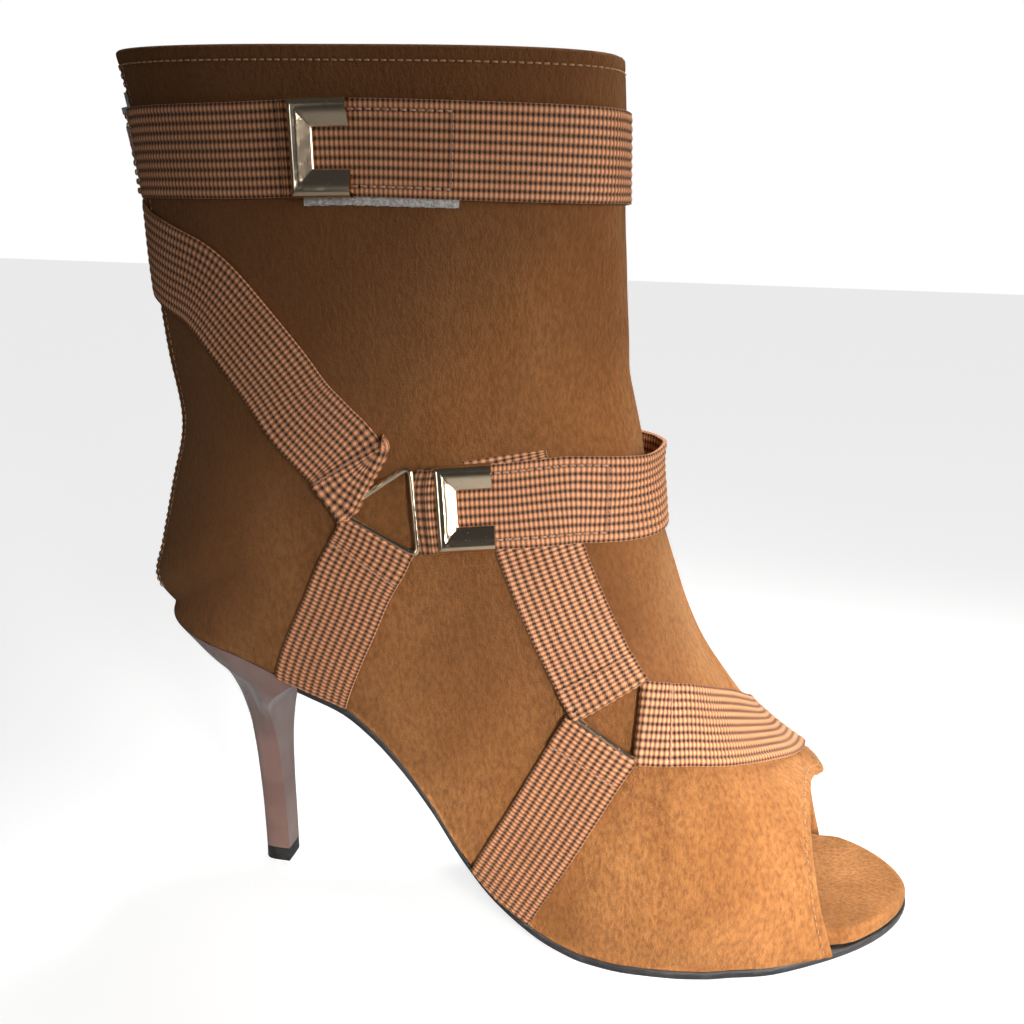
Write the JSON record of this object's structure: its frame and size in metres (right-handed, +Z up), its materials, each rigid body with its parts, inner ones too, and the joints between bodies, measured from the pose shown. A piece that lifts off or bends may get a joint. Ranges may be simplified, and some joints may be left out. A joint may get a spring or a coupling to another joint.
{
  "type": "peep toe ankle boot",
  "caption": "Right suede ankle boot with a peep toe, stiletto heel, webbing harness straps, metal clips and a back zip with a turning pull",
  "frame": {"origin": "centre of the heel's top piece, on the floor", "axes": "+X toward the toe, +Z up, -Y the outer (lateral) side of a right foot"},
  "size_m": [0.2171, 0.0832, 0.2214],
  "materials": {
    "suede": "napped suede",
    "sole_rubber": "matte",
    "lacquer": "lacquered",
    "webbing": "ribbed webbing",
    "metal": "polished",
    "tape": "matte",
    "zip_black": "satin"
  },
  "bodies": {
    "boot": {"upper": "suede", "insole": "suede", "outsole": "sole_rubber", "heel": "lacquer", "top_piece": "sole_rubber", "strap_collar": "webbing", "strap_ankle": "webbing", "strap_arch": "webbing", "strap_instep": "webbing", "strap_drop": "webbing", "strap_vamp": "webbing", "strap_ball": "webbing", "ring_ankle": "metal", "ring_vamp": "metal", "clip_collar": "metal", "clip_instep": "metal", "backing_tape": "tape", "zip_teeth": "zip_black", "zip_slider": "zip_black"},
    "pull": {"zip_pull": "zip_black"}
  },
  "joints": [
    {"name": "pull_hinge", "type": "hinge", "parent": "boot", "child": "pull", "pos_m": [-0.03233, 0, 0.20919], "axis": [0, 1, 0], "range_deg": [0, 140]}
  ]
}
